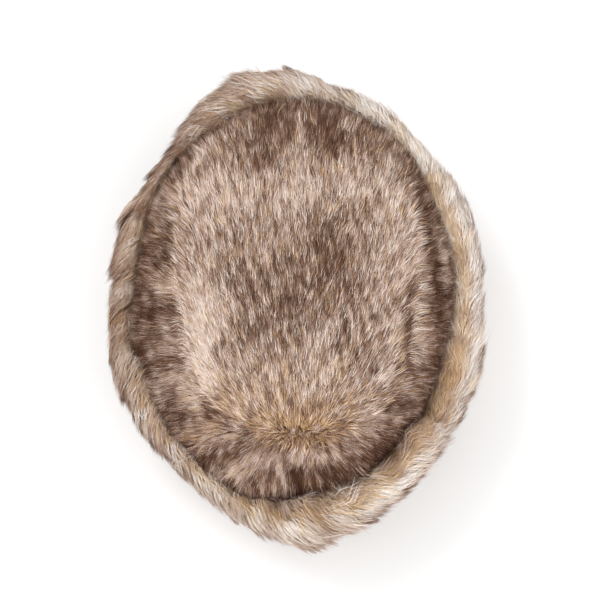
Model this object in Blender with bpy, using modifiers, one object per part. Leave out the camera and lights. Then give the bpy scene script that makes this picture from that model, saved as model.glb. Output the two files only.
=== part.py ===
"""Faux-fur cossack hat with a turned-up cuff.

Three sewn pieces, each modelled as one closed solid of its outer fur form:
  crown_top   oval domed panel on top of the crown
  crown_wall  side band of the crown, thin cloth at the rim, deep fur above
  cuff        turned-up band of deep fur round the outside

Metres, +Z up. The hat stands on its rim at z = 0. The long axis is Y, the
short axis is X, and the end with the crown's seam is at -Y. Every piece is a
coarse cage of sections round the hat, smoothed with Subdivision Surface.
"""

import math

import bmesh
import bpy

MM = 0.001

# ---------------------------------------------------------------- dimensions
HEAD_LONG = 206.0      # head opening at the rim, along Y (mm)
HEAD_WIDE = 148.0      # head opening at the rim, along X (mm)
HEAD_SHIFT_X = -3.0    # the opening sits a little to -X of the fur outline
CLOTH = 2.6            # thickness of the crown band where it is only cloth
GAP = 0.8              # space between the band and the cuff in the cage
SEAM_GAP = 0.35        # half the space between the top panel and the band

CUFF_BELLY_Z = 58.0    # height at which the cuff is widest
CUFF_FOOT_Z = 24.0     # below this the cuff's fur turns in to the rim
CUFF_FOOT_IN = 8.0     # how far it turns in at the rim
CUFF_LIP_DROP = 20.0   # start of the cuff's inner lip below its crest
VALLEY_Z = 86.0        # bottom of the valley between crown and cuff

PANEL_EDGE_Z = 121.0   # top of the seam round the crown's panel
PANEL_SEAM_Z = 107.0   # inner, lower end of that seam
PANEL_APEX_Z = 134.0   # highest point of the crown
PANEL_INNER_Z = 113.0  # highest point of the hollow
PANEL_CENTRE_Y = 5.0   # the panel sits a little towards +Y

COLUMNS = 36           # sections round the hat before the folds add theirs
LEVELS = 1             # subdivision of every cage

# Sections round the hat, every 15 degrees from +X towards +Y (mm):
# fur  radius of the cuff's outer fur form
# val  radius of the valley between crown and cuff
# pan  radius of the seam round the top panel
# top  height of the cuff's crest
SECTIONS = [
    # deg   fur    val    pan    top
    (0,    105.0,  88.0,  62.0,  97.0),
    (15,   108.0,  90.0,  64.0,  97.0),
    (30,   112.0,  91.0,  70.0,  98.0),
    (45,   116.0,  98.0,  80.0,  99.0),
    (60,   122.0, 106.0,  88.0, 100.0),
    (75,   129.0, 111.0,  91.0, 101.0),
    (90,   136.0, 114.0,  91.5, 101.0),
    (105,  137.0, 112.0,  91.0, 100.0),
    (120,  127.0, 105.0,  88.0,  99.0),
    (135,  117.0, 101.0,  81.0,  98.0),
    (150,  111.0,  96.0,  71.0,  97.0),
    (165,  107.0,  92.0,  64.0,  96.0),
    (180,  104.0,  92.0,  62.0,  95.0),
    (195,  106.0,  95.0,  61.0,  95.0),
    (210,  108.0,  97.0,  65.0,  95.0),
    (225,  111.0, 102.0,  71.0,  96.0),
    (240,  115.0, 108.0,  77.0,  97.0),
    (255,  125.0, 115.0,  80.0,  98.0),
    (270,  136.0, 118.5,  80.0,  99.0),
    (285,  130.0, 113.0,  80.0,  99.0),
    (300,  120.0, 105.0,  78.0,  98.0),
    (315,  114.0,  96.0,  73.0,  97.0),
    (330,  110.0,  90.0,  66.0,  97.0),
    (345,  107.0,  88.0,  62.0,  97.0),
]

# Folds and tufts of the cuff: place, half width (deg), and what they push (mm)
# out   outer fur form outwards
# lift  crest upwards
# inn   inner lip outwards
CUFF_FOLDS = [
    # name            deg   half   out   lift   inn
    ("end_tuft",       94,   6.0,   3.0,   2.0,  0.0),
    ("upper_tuft",    112,   6.0,   3.0,   1.0,  0.0),
    ("side_kink",     197,   6.0,   3.0,  -5.0,  1.5),
    ("side_lobe",     206,   6.0,  -2.0,   3.0,  0.0),
    ("end_step",      254,   6.0,  -3.0,  -4.0,  0.0),
    ("inner_crease",  319,   6.0,   0.0,  -4.0,  4.0),
]

# Dents of the crown's side band: place, half width (deg), depth (mm)
BAND_DENTS = [
    # name            deg   half   depth
    ("seam_dent",     270,   7.0,   6.0),
    ("side_dent",     303,   9.0,   2.5),
    ("shoulder_dent", 160,  12.0,   1.5),
]

# ------------------------------------------------------------------ helpers


def lookup(deg, column):
    """Smooth periodic reading of one column of SECTIONS."""
    n = len(SECTIONS)
    step = 360.0 / n
    k = (deg % 360.0) / step
    i = int(math.floor(k))
    t = k - i
    p0, p1, p2, p3 = (SECTIONS[(i + j) % n][column] for j in (-1, 0, 1, 2))
    return 0.5 * (2 * p1 + (p2 - p0) * t
                  + (2 * p0 - 5 * p1 + 4 * p2 - p3) * t * t
                  + (3 * p1 - p0 - 3 * p2 + p3) * t ** 3)


def near(deg, centre, half):
    """1 at the centre of a fold, falling to 0 two half widths away."""
    d = abs((deg - centre + 180.0) % 360.0 - 180.0) / (2.0 * half)
    return 0.0 if d >= 1.0 else 0.5 + 0.5 * math.cos(math.pi * d)


def head_radius(deg):
    """Distance from the hat's axis to the oval of the head opening."""
    a, b = HEAD_WIDE / 2.0, HEAD_LONG / 2.0
    c, s = math.cos(math.radians(deg)), math.sin(math.radians(deg))
    # (r c - shift)^2 / a^2 + (r s)^2 / b^2 = 1
    qa = (c / a) ** 2 + (s / b) ** 2
    qb = -2.0 * HEAD_SHIFT_X * c / a ** 2
    qc = (HEAD_SHIFT_X / a) ** 2 - 1.0
    return (-qb + math.sqrt(qb * qb - 4.0 * qa * qc)) / (2.0 * qa)


def column_angles():
    """Even sections, with one more at each fold that falls between two."""
    angles = [i * 360.0 / COLUMNS for i in range(COLUMNS)]
    for fold in CUFF_FOLDS:
        if min(abs(fold[1] - a) for a in angles) > 2.5:
            angles.append(float(fold[1]))
    return sorted(angles)


def band_face(deg, z):
    """Radius of the band's outer face behind the cuff, at height z."""
    low = head_radius(deg) + CLOTH
    high = lookup(deg, 2) - 1.0
    return low + (high - low) * (z / VALLEY_Z) ** 1.2


def panel_point(deg, share, z):
    """A point of the top panel: share 1 at its seam, 0 at its centre."""
    r = lookup(deg, 3) - SEAM_GAP
    x = r * math.cos(math.radians(deg))
    y = r * math.sin(math.radians(deg))
    return (x * share, PANEL_CENTRE_Y + (y - PANEL_CENTRE_Y) * share, z)


def cuff_section(deg):
    """(radius, height, sharp) round the cuff's section."""
    fur, valley, top = (lookup(deg, c) for c in (1, 2, 4))
    lip_in = 0.0
    for _, place, half, out, lift, inn in CUFF_FOLDS:
        w = near(deg, place, half)
        fur += out * w
        top += lift * w
        lip_in += inn * w
    foot = band_face(deg, 0.0) + GAP
    middle = band_face(deg, 45.0) + GAP
    lip = valley + 1.0 + lip_in
    belly = fur + 1.5
    rim = fur - CUFF_FOOT_IN
    return [
        (foot, 0.0, True),
        (middle, 45.0, False),
        (lip + 1.0, top - CUFF_LIP_DROP, False),
        (lip, top, False),
        (lip + 0.36 * (belly - lip), top + 5.0, False),
        (lip + 0.76 * (belly - lip), top + 2.0, False),
        (belly, top - 16.0, False),
        (belly, CUFF_BELLY_Z - 8.0, False),
        (belly - 1.0, CUFF_FOOT_Z, False),
        (rim, 0.0, False),
        (foot + 0.72 * (rim - foot), 0.0, False),
        (foot + 0.30 * (rim - foot), 0.0, False),
    ]


def band_section(deg):
    """(radius, height, sharp) round the crown band's section."""
    head = head_radius(deg)
    valley = lookup(deg, 2)
    seam = lookup(deg, 3) + SEAM_GAP
    dent = sum(depth * near(deg, place, half)
               for _, place, half, depth in BAND_DENTS)
    return [
        (head, 0.0, False),
        (head, 52.0, False),
        (head - 5.0, 88.0, False),
        (seam, PANEL_SEAM_Z, True),
        (seam, PANEL_EDGE_Z, True),
        (seam + 0.42 * (valley - seam), PANEL_EDGE_Z - 5.0 - dent, False),
        (seam + 0.90 * (valley - seam) - dent, VALLEY_Z + 15.0, False),
        (valley - 1.5 - dent, VALLEY_Z, False),
        (band_face(deg, 45.0), 45.0, False),
        (head + CLOTH, 0.0, False),
    ]


def new_object(name, mesh, colour, roughness, parent, collection):
    """Object with its own material and one smoothing modifier."""
    mat = bpy.data.materials.new(name)
    mat.use_nodes = True
    shader = mat.node_tree.nodes["Principled BSDF"]
    shader.inputs["Base Color"].default_value = colour + (1.0,)
    shader.inputs["Roughness"].default_value = roughness
    shader.inputs["Metallic"].default_value = 0.0
    mesh.materials.append(mat)
    obj = bpy.data.objects.new(name, mesh)
    obj.parent = parent
    collection.objects.link(obj)
    smooth = obj.modifiers.new("smooth", "SUBSURF")
    smooth.levels = LEVELS
    smooth.render_levels = LEVELS
    mesh.shade_smooth()
    return obj


def ring_mesh(name, section):
    """Closed band: the same section lofted once round the hat."""
    bm = bmesh.new()
    crease = bm.edges.layers.float.new("crease_edge")
    columns = []
    for deg in column_angles():
        c, s = math.cos(math.radians(deg)), math.sin(math.radians(deg))
        rows = section(deg)
        columns.append([(bm.verts.new((r * c * MM, r * s * MM, z * MM)), hard)
                        for r, z, hard in rows])
    for i, column in enumerate(columns):
        after = columns[(i + 1) % len(columns)]
        for j in range(len(column)):
            k = (j + 1) % len(column)
            bm.faces.new((column[j][0], after[j][0], after[k][0], column[k][0]))
    for i, column in enumerate(columns):
        after = columns[(i + 1) % len(columns)]
        for (v, hard), (w, _) in zip(column, after):
            if hard:
                bm.edges.get((v, w))[crease] = 1.0
    bmesh.ops.recalc_face_normals(bm, faces=bm.faces)
    mesh = bpy.data.meshes.new(name)
    bm.to_mesh(mesh)
    bm.free()
    return mesh


def panel_mesh(name):
    """Domed oval lid: rings of the seam line drawn in to the centre."""
    bm = bmesh.new()
    crease = bm.edges.layers.float.new("crease_edge")
    angles = column_angles()
    dome = PANEL_APEX_Z - PANEL_EDGE_Z
    vault = PANEL_INNER_Z - PANEL_SEAM_Z

    def ring(share, z):
        return [bm.verts.new(tuple(c * MM for c in panel_point(a, share, z)))
                for a in angles]

    outer = [ring(s, PANEL_EDGE_Z + dome * (1.0 - s ** 2.2))
             for s in (1.0, 0.84, 0.48)]
    inner = [ring(s, PANEL_SEAM_Z + vault * (1.0 - s ** 2.0))
             for s in (1.0, 0.55)]
    crown = bm.verts.new((0.0, PANEL_CENTRE_Y * MM, PANEL_APEX_Z * MM))
    vaultv = bm.verts.new((0.0, PANEL_CENTRE_Y * MM, PANEL_INNER_Z * MM))
    n = len(angles)
    for i in range(n):
        j = (i + 1) % n
        for a, b in ((outer[0], outer[1]), (outer[1], outer[2]),
                     (inner[1], inner[0]), (inner[0], outer[0])):
            bm.faces.new((a[i], a[j], b[j], b[i]))
        bm.faces.new((outer[2][i], outer[2][j], crown))
        bm.faces.new((inner[1][j], inner[1][i], vaultv))
        for loop in (outer[0], inner[0]):
            bm.edges.get((loop[i], loop[j]))[crease] = 1.0
    bmesh.ops.recalc_face_normals(bm, faces=bm.faces)
    mesh = bpy.data.meshes.new(name)
    bm.to_mesh(mesh)
    bm.free()
    return mesh


# -------------------------------------------------------------------- build


def main():
    for obj in list(bpy.data.objects):
        bpy.data.objects.remove(obj, do_unlink=True)

    hat = bpy.data.collections.new("cossack_hat")
    bpy.context.scene.collection.children.link(hat)
    stand = bpy.data.objects.new("hat_origin", None)
    hat.objects.link(stand)

    new_object("crown_top", panel_mesh("crown_top"),
               (0.45, 0.35, 0.28), 0.85, stand, hat)
    new_object("crown_wall", ring_mesh("crown_wall", band_section),
               (0.24, 0.17, 0.13), 0.88, stand, hat)
    cuff = new_object("cuff", ring_mesh("cuff", cuff_section),
                      (0.60, 0.48, 0.36), 0.85, stand, hat)

    # The origin is the middle of the outline, on the plane of the rim.
    bpy.context.view_layer.update()
    shape = cuff.evaluated_get(bpy.context.evaluated_depsgraph_get())
    xs = [v.co.x for v in shape.data.vertices]
    ys = [v.co.y for v in shape.data.vertices]
    stand.location = (-(min(xs) + max(xs)) / 2.0,
                      -(min(ys) + max(ys)) / 2.0, 0.0)
    bpy.context.view_layer.update()


main()
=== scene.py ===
import math

import bpy
import numpy as np
from mathutils import Matrix, Vector, kdtree


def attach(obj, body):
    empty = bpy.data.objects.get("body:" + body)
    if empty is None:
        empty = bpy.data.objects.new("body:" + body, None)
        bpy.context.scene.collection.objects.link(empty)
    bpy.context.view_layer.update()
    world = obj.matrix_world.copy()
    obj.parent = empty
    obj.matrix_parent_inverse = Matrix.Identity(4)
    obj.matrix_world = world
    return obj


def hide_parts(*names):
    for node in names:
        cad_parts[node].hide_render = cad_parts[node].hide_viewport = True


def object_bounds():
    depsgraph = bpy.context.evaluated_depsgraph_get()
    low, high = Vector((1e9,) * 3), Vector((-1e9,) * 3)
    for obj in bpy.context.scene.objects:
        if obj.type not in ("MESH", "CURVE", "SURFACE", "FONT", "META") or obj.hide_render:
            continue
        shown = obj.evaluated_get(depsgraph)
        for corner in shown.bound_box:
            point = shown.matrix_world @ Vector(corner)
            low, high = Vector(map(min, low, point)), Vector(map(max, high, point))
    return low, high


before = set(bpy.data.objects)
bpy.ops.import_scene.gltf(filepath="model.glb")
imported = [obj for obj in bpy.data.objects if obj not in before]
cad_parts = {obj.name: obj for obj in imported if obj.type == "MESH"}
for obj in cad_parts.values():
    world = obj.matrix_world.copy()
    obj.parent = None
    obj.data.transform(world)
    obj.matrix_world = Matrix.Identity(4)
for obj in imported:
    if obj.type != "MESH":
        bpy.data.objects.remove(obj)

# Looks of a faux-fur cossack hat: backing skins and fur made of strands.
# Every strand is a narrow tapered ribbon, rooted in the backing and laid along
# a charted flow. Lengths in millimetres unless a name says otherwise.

box_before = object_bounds()
box_before = [list(box_before[0]), list(box_before[1])]

MM = 0.001
SHIFT = np.array([-0.259, -2.759])   # from the hat's own axis to the origin

# ------------------------------------------------------------------- camera
ELEVATION = 79.0        # degrees above the horizon, from the -Y side
DISTANCE = 1600.0
PIXEL = 0.575           # mm a pixel of the 600 x 600 frame, at the target
CENTRE_PX = (296.5, 308.0)           # where the hat's axis meets TARGET_Z
TARGET_Z = 65.0

SIN_E, COS_E = math.sin(math.radians(ELEVATION)), math.cos(math.radians(ELEVATION))


def plan(px, py, z):
    """The point of height z, in the hat's own axes, that a pixel shows."""
    px, py = np.asarray(px, float), np.asarray(py, float)
    dz = z - TARGET_Z
    u = (px - CENTRE_PX[0]) * PIXEL / DISTANCE
    v = (CENTRE_PX[1] - py) * PIXEL / DISTANCE
    y = (v * (DISTANCE - dz * SIN_E) - dz * COS_E) / (SIN_E - v * COS_E)
    return u * (DISTANCE + y * COS_E - dz * SIN_E), y


def pixel(x, y, z):
    """The pixel that shows a point given in the hat's own axes."""
    dz = z - TARGET_Z
    depth = DISTANCE + y * COS_E - dz * SIN_E
    return (CENTRE_PX[0] + x / depth * DISTANCE / PIXEL,
            CENTRE_PX[1] - (y * SIN_E + dz * COS_E) / depth * DISTANCE / PIXEL)


# ---------------------------------------------------------------- dimensions
HEAD_LONG, HEAD_WIDE, HEAD_SHIFT_X = 206.0, 148.0, -3.0
CLOTH, GAP = 2.6, 0.8
CUFF_FOOT_IN = 8.0
VALLEY_Z = 86.0
PANEL_EDGE_Z, PANEL_SEAM_Z = 121.0, 107.0
PANEL_APEX_Z, PANEL_INNER_Z, PANEL_CENTRE_Y = 134.0, 113.0, 5.0

# Sections round the hat: cuff's fur form, valley, seam of the top panel,
# cuff's crest, then how far the cuff's strands turn from straight outwards
# (degrees, towards the next row), how much its fur stands back (-) or out, and
# how pale they are (0 dark, 1 pale) and their length's share.
COLS = dict(fur=1, val=2, pan=3, top=4, turn=5, reach=6, tone=7, pile=8)
SECTIONS = np.array([
    # deg   fur    val    pan    top   turn  reach  tone  pile
    (0,    105.0,  88.0,  62.0,  97.0,  84.0,  -1.0,  0.74, 1.00),
    (15,   108.0,  90.0,  64.0,  97.0,  84.0,   1.0,  0.74, 1.00),
    (30,   112.0,  91.0,  70.0,  98.0,  78.0,   0.0,  0.78, 1.00),
    (45,   116.0,  98.0,  80.0,  99.0,  70.0,  -4.0,  0.84, 0.70),
    (60,   122.0, 106.0,  88.0, 100.0,  68.0,  -5.0,  0.84, 0.90),
    (75,   129.0, 111.0,  91.0, 101.0,  62.0,  -8.5,  0.68, 1.00),
    (90,   136.0, 114.0,  91.5, 101.0,  58.0,  -7.0,  0.57, 1.00),
    (105,  137.0, 112.0,  91.0, 100.0,  60.0,  -6.5,  0.50, 1.00),
    (120,  127.0, 105.0,  88.0,  99.0,  66.0,  -8.5,  0.42, 0.68),
    (135,  117.0, 101.0,  81.0,  98.0,  70.0,  -6.0,  0.32, 0.45),
    (150,  111.0,  96.0,  71.0,  97.0,  74.0,   0.5,  0.32, 0.90),
    (165,  107.0,  92.0,  64.0,  96.0,  72.0,  -2.0,  0.38, 0.88),
    (180,  104.0,  92.0,  62.0,  95.0,  66.0,   1.0,  0.48, 0.92),
    (195,  106.0,  95.0,  61.0,  95.0,  64.0,  -1.5,  0.48, 0.92),
    (210,  108.0,  97.0,  65.0,  95.0,  68.0,   0.0,  0.52, 1.08),
    (225,  111.0, 102.0,  71.0,  96.0,  72.0,   0.0,  0.57, 0.82),
    (240,  115.0, 108.0,  77.0,  97.0,  66.0,   0.0,  0.60, 0.80),
    (255,  125.0, 115.0,  80.0,  98.0,  52.0,   2.0,  0.62, 0.75),
    (270,  136.0, 118.5,  80.0,  99.0,  54.0,   1.0,  0.64, 1.05),
    (285,  130.0, 113.0,  80.0,  99.0,  72.0,  -3.0,  0.66, 0.85),
    (300,  120.0, 105.0,  78.0,  98.0,  80.0,   5.5,  0.58, 1.15),
    (315,  114.0,  96.0,  73.0,  97.0,  80.0,   0.5,  0.54, 1.00),
    (330,  110.0,  90.0,  66.0,  97.0,  84.0,   4.5,  0.62, 1.00),
    (345,  107.0,  88.0,  62.0,  97.0,  86.0,   2.5,  0.73, 1.00),
])

CUFF_FOLDS = [
    # deg   half   out   lift   inn
    (94,    6.0,   3.0,   2.0,  0.0),
    (112,   6.0,   3.0,   1.0,  0.0),
    (197,   6.0,   3.0,  -5.0,  1.5),
    (206,   6.0,  -2.0,   3.0,  0.0),
    (254,   6.0,  -3.0,  -4.0,  0.0),
    (319,   6.0,   0.0,  -4.0,  4.0),
]

BAND_DENTS = [
    # deg   half   depth
    (270,   7.0,   6.0),
    (303,   9.0,   2.5),
    (160,  12.0,   1.5),
]

# Where the crease between band and cuff is wider open.
CREASE_GAPS = [
    # deg   half   depth
    (298,  16.0,   3.0),
    (262,   8.0,   1.5),
    (120,  20.0,   0.5),
    (327,   8.0,   1.5),
]

# Tufts that stand out of the cuff's outline: place, half width (deg),
# extra length (share), turn (deg), extra lift (share).
TUFTS = [
    # deg    half  longer  turn   lift
    (94.5,   2.5,   0.35,   0.0,  0.50),
    (106.5,  2.5,   0.30,   0.0,  0.40),
    (114.5,  2.0,   0.20,   0.0,  0.35),
    (124.0,  2.0,   0.10,   0.0,  0.25),
    (141.5,  3.0,   0.10,   0.0,  0.25),
    (61.5,   2.5,   0.15,   0.0,  0.20),
    (303.0,  2.5,   0.10,   0.0,  0.25),
    (287.0,  3.0,   0.15,   0.0,  0.25),
    (278.0,  4.5,   0.35,   0.0,  0.70),
    (267.0,  3.0,   0.20,   0.0,  0.45),
    (253.0,  3.0,   0.25,   0.0,  0.50),
    (198.5,  3.0,   0.30, -15.0,  0.45),
    (258.5,  2.0,  -0.10,   0.0, -0.20),
]

# ------------------------------------------------------------------ surfaces


def column(deg, name):
    """Smooth periodic reading of one column of SECTIONS."""
    col = SECTIONS[:, COLS[name]]
    n = len(col)
    k = (np.asarray(deg, float) % 360.0) / (360.0 / n)
    i = np.floor(k).astype(int)
    t = k - i
    p0, p1, p2, p3 = (col[(i + j) % n] for j in (-1, 0, 1, 2))
    return 0.5 * (2 * p1 + (p2 - p0) * t
                  + (2 * p0 - 5 * p1 + 4 * p2 - p3) * t * t
                  + (3 * p1 - p0 - 3 * p2 + p3) * t ** 3)


def near(deg, centre, half):
    d = np.abs((np.asarray(deg, float) - centre + 180.0) % 360.0 - 180.0)
    d = d / (2.0 * half)
    return np.where(d >= 1.0, 0.0, 0.5 + 0.5 * np.cos(np.pi * d))


def head_radius(deg):
    a, b = HEAD_WIDE / 2.0, HEAD_LONG / 2.0
    c, s = np.cos(np.radians(deg)), np.sin(np.radians(deg))
    qa = (c / a) ** 2 + (s / b) ** 2
    qb = -2.0 * HEAD_SHIFT_X * c / a ** 2
    qc = (HEAD_SHIFT_X / a) ** 2 - 1.0
    return (-qb + np.sqrt(qb * qb - 4.0 * qa * qc)) / (2.0 * qa)


def band_face(deg, z):
    low = head_radius(deg) + CLOTH
    high = column(deg, "val") - 1.0
    return low + (high - low) * (z / VALLEY_Z) ** 1.2


def cuff_outer(deg):
    """Backing of the cuff's fur: valley, over the crest, down to the rim."""
    fur, val, top = (column(deg, c) for c in ("fur", "val", "top"))
    fur = fur + column(deg, "reach")
    lip = val + 2.8 - 1.4 * near(deg, 215.0, 60.0)
    # the side that faces the camera's low side leans in towards its foot
    lean = 7.0 * np.clip(-np.sin(np.radians(deg)), 0.0, 1.0)
    for place, half, out, lift, inn in CUFF_FOLDS:
        w = near(deg, place, half)
        fur = fur + out * w
        top = top + lift * w
        lip = lip + inn * w
    w = fur - lip
    rim = fur - CUFF_FOOT_IN - 2.0
    base = head_radius(deg) + CLOTH + GAP
    return [
        (lip - 1.2, top - 34.0),
        (lip - 0.2, top - 17.0),
        (lip + 1.6, top - 7.0),
        (lip + 0.34 * w, top - 3.0),
        (lip + 0.58 * w, top - 7.5),
        (np.maximum(fur - 10.5, lip + 1.6), top - 21.0),
        (np.maximum(fur - 9.5, lip + 2.0) - 0.3 * lean, 58.0),
        (np.maximum(fur - 9.5, lip + 1.6) - 0.7 * lean, 32.0),
        (np.maximum(rim - 3.0 - 0.8 * lean, base + 4.0), 11.0),
        (np.maximum(rim - 8.0 - 0.5 * lean, base + 2.5), 2.5),
    ]


def band_outer(deg):
    """Backing of the crown band's fur: from the seam down to the valley."""
    val, seam = column(deg, "val"), column(deg, "pan")
    dent = sum(depth * near(deg, place, half)
               for place, half, depth in BAND_DENTS)
    gap = sum(depth * near(deg, place, half)
              for place, half, depth in CREASE_GAPS)
    shut = 2.0 * near(deg, 5.0, 42.0)
    return [
        (seam - 0.5, PANEL_EDGE_Z - 9.0),
        (seam + 0.40 * (val - seam), PANEL_EDGE_Z - 13.5 - dent),
        (seam + 0.78 * (val - seam) - dent, VALLEY_Z + 11.0),
        (val - 4.5 + shut - gap - dent, VALLEY_Z),
        (val - 4.5 + shut - gap - 0.3 * dent, VALLEY_Z - 20.0),
    ]


def spline(points, count):
    """Evenly spaced points along smooth curves, one curve for each angle."""
    ctrl = np.stack([np.stack([np.broadcast_to(r, points[0][0].shape),
                               np.broadcast_to(z, points[0][0].shape)], -1)
                     for r, z in points])          # control, angle, (r, z)
    ext = np.concatenate([2 * ctrl[:1] - ctrl[1:2], ctrl,
                          2 * ctrl[-1:] - ctrl[-2:-1]])
    m = len(ctrl) - 1
    fine = []
    for k in np.linspace(0, m, 12 * m + 1):
        i = min(int(k), m - 1)
        t = k - i
        p0, p1, p2, p3 = ext[i], ext[i + 1], ext[i + 2], ext[i + 3]
        fine.append(0.5 * (2 * p1 + (p2 - p0) * t
                           + (2 * p0 - 5 * p1 + 4 * p2 - p3) * t * t
                           + (3 * p1 - p0 - 3 * p2 + p3) * t ** 3))
    fine = np.stack(fine)                           # fine, angle, 2
    step = np.linalg.norm(np.diff(fine, axis=0), axis=-1).mean(1)
    run = np.concatenate([[0], np.cumsum(step)])
    want = np.linspace(0, run[-1], count)
    at = np.interp(want, run, np.arange(len(run)))
    i = np.minimum(at.astype(int), len(run) - 2)
    t = (at - i)[:, None, None]
    return (fine[i] * (1 - t) + fine[i + 1] * t).transpose(1, 0, 2)


def around(rz, deg):
    """(angle, place, 3) points of curves given as (radius, height)."""
    c, s = np.cos(np.radians(deg))[:, None], np.sin(np.radians(deg))[:, None]
    return np.stack([rz[..., 0] * c, rz[..., 0] * s, rz[..., 1]], -1)


class Sheet:
    """A grid of points round the hat, closed round the angle."""

    def __init__(self, points, deg, out):
        self.p = points
        self.deg = deg
        nxt = np.roll(points, -1, 0)
        self.tt = unit(nxt - np.roll(points, 1, 0))
        self.ts = unit(np.gradient(points, axis=1))
        n = np.cross(self.ts, self.tt)
        flip = np.sign((n * out).sum(-1).mean())
        self.n = unit(n * flip)
        a = nxt[:, :-1] - points[:, :-1]
        b = points[:, 1:] - points[:, :-1]
        self.area = np.linalg.norm(np.cross(a, b), axis=-1)

    def sample(self, count, rng, weight=None):
        """count points with their frames: p, n, ts, tt, angle, place."""
        area = self.area if weight is None else self.area * weight
        cum = np.cumsum(area.ravel())
        pick = (np.arange(count) + rng.random(count)) / count * cum[-1]
        cell = np.minimum(np.searchsorted(cum, pick), area.size - 1)
        i, j = np.unravel_index(cell, area.shape)
        u, v = rng.random(count)[:, None], rng.random(count)[:, None]
        k = (i + 1) % len(self.p)

        def mix(a):
            return ((a[i, j] * (1 - u) + a[k, j] * u) * (1 - v)
                    + (a[i, j + 1] * (1 - u) + a[k, j + 1] * u) * v)
        step = 360.0 / len(self.p)
        return (mix(self.p), unit(mix(self.n)), unit(mix(self.ts)),
                unit(mix(self.tt)), (self.deg[i] + step * u[:, 0]) % 360.0,
                (j + v[:, 0]) / (self.p.shape[1] - 1))


def unit(a):
    return a / np.maximum(np.linalg.norm(a, axis=-1, keepdims=True), 1e-9)


def blend(a, b, w):
    return a * (1 - w)[:, None] + b * w[:, None]


def toward(degs):
    r = np.radians(degs)
    return np.stack([np.cos(r), np.sin(r), np.zeros_like(r)], -1)


def lay(d, n):
    """Direction d laid into the surface whose normal is n."""
    return unit(d - n * (d * n).sum(-1, keepdims=True))


def panel(deg, share, depth, inner=False):
    """Points of the top panel's outer or inner face."""
    r = column(deg, "pan") + (0.0 if not inner else -0.35)
    x = (r * np.cos(np.radians(deg)))[:, None] * share
    y = (PANEL_CENTRE_Y + ((r * np.sin(np.radians(deg)))[:, None]
                           - PANEL_CENTRE_Y) * share)
    if inner:
        z = PANEL_SEAM_Z + (PANEL_INNER_Z - PANEL_SEAM_Z) * (1 - share ** 2)
    else:
        z = PANEL_EDGE_Z + (PANEL_APEX_Z - PANEL_EDGE_Z) * (1 - share ** 2.2)
    return np.stack([x, y, np.broadcast_to(z - depth, x.shape)], -1)


def waves(x, y, seed, size):
    """Smooth noise between about -1 and 1, of plane waves."""
    rng = np.random.default_rng(seed)
    total = 0.0
    for _ in range(7):
        a = rng.random() * 2 * np.pi
        k = 2 * np.pi / (size * (0.7 + 0.9 * rng.random()))
        total = total + np.sin(k * (x * math.cos(a) + y * math.sin(a))
                               + rng.random() * 2 * np.pi)
    return total / 3.2


# ------------------------------------------------------------ meshes, pieces


def mesh_object(name, verts, loops, sizes, mats, normals=None, uv=None,
                slots=None, smooth=True):
    """One mesh from arrays: vertices in mm, corner indices, corners a face."""
    me = bpy.data.meshes.new(name)
    verts = np.asarray(verts, float) + np.array([SHIFT[0], SHIFT[1], 0.0])
    me.vertices.add(len(verts))
    me.vertices.foreach_set("co", (verts * MM).astype(np.float32).ravel())
    me.loops.add(len(loops))
    me.loops.foreach_set("vertex_index", np.asarray(loops, np.int32))
    me.polygons.add(len(sizes))
    starts = np.concatenate([[0], np.cumsum(sizes)[:-1]]).astype(np.int32)
    me.polygons.foreach_set("loop_start", starts)
    me.polygons.foreach_set("loop_total", np.asarray(sizes, np.int32))
    if slots is not None:
        me.polygons.foreach_set("material_index", np.asarray(slots, np.int32))
    me.update(calc_edges=True)
    if smooth:
        me.polygons.foreach_set("use_smooth", np.ones(len(sizes), bool))
    if uv is not None:
        for layer_name in ("strand", "OFBake"):
            layer = me.uv_layers.new(name=layer_name, do_init=False)
            layer.data.foreach_set("uv", uv[loops].astype(np.float32).ravel())
    if normals is not None:
        me.normals_split_custom_set_from_vertices(
            unit(normals).astype(np.float32).tolist())
    for m in mats:
        me.materials.append(m)
    ob = bpy.data.objects.new(name, me)
    bpy.context.scene.collection.objects.link(ob)
    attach(ob, "root")
    return ob


FAMILY = 0.64       # columns of the colour map below this are neutral fur


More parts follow.
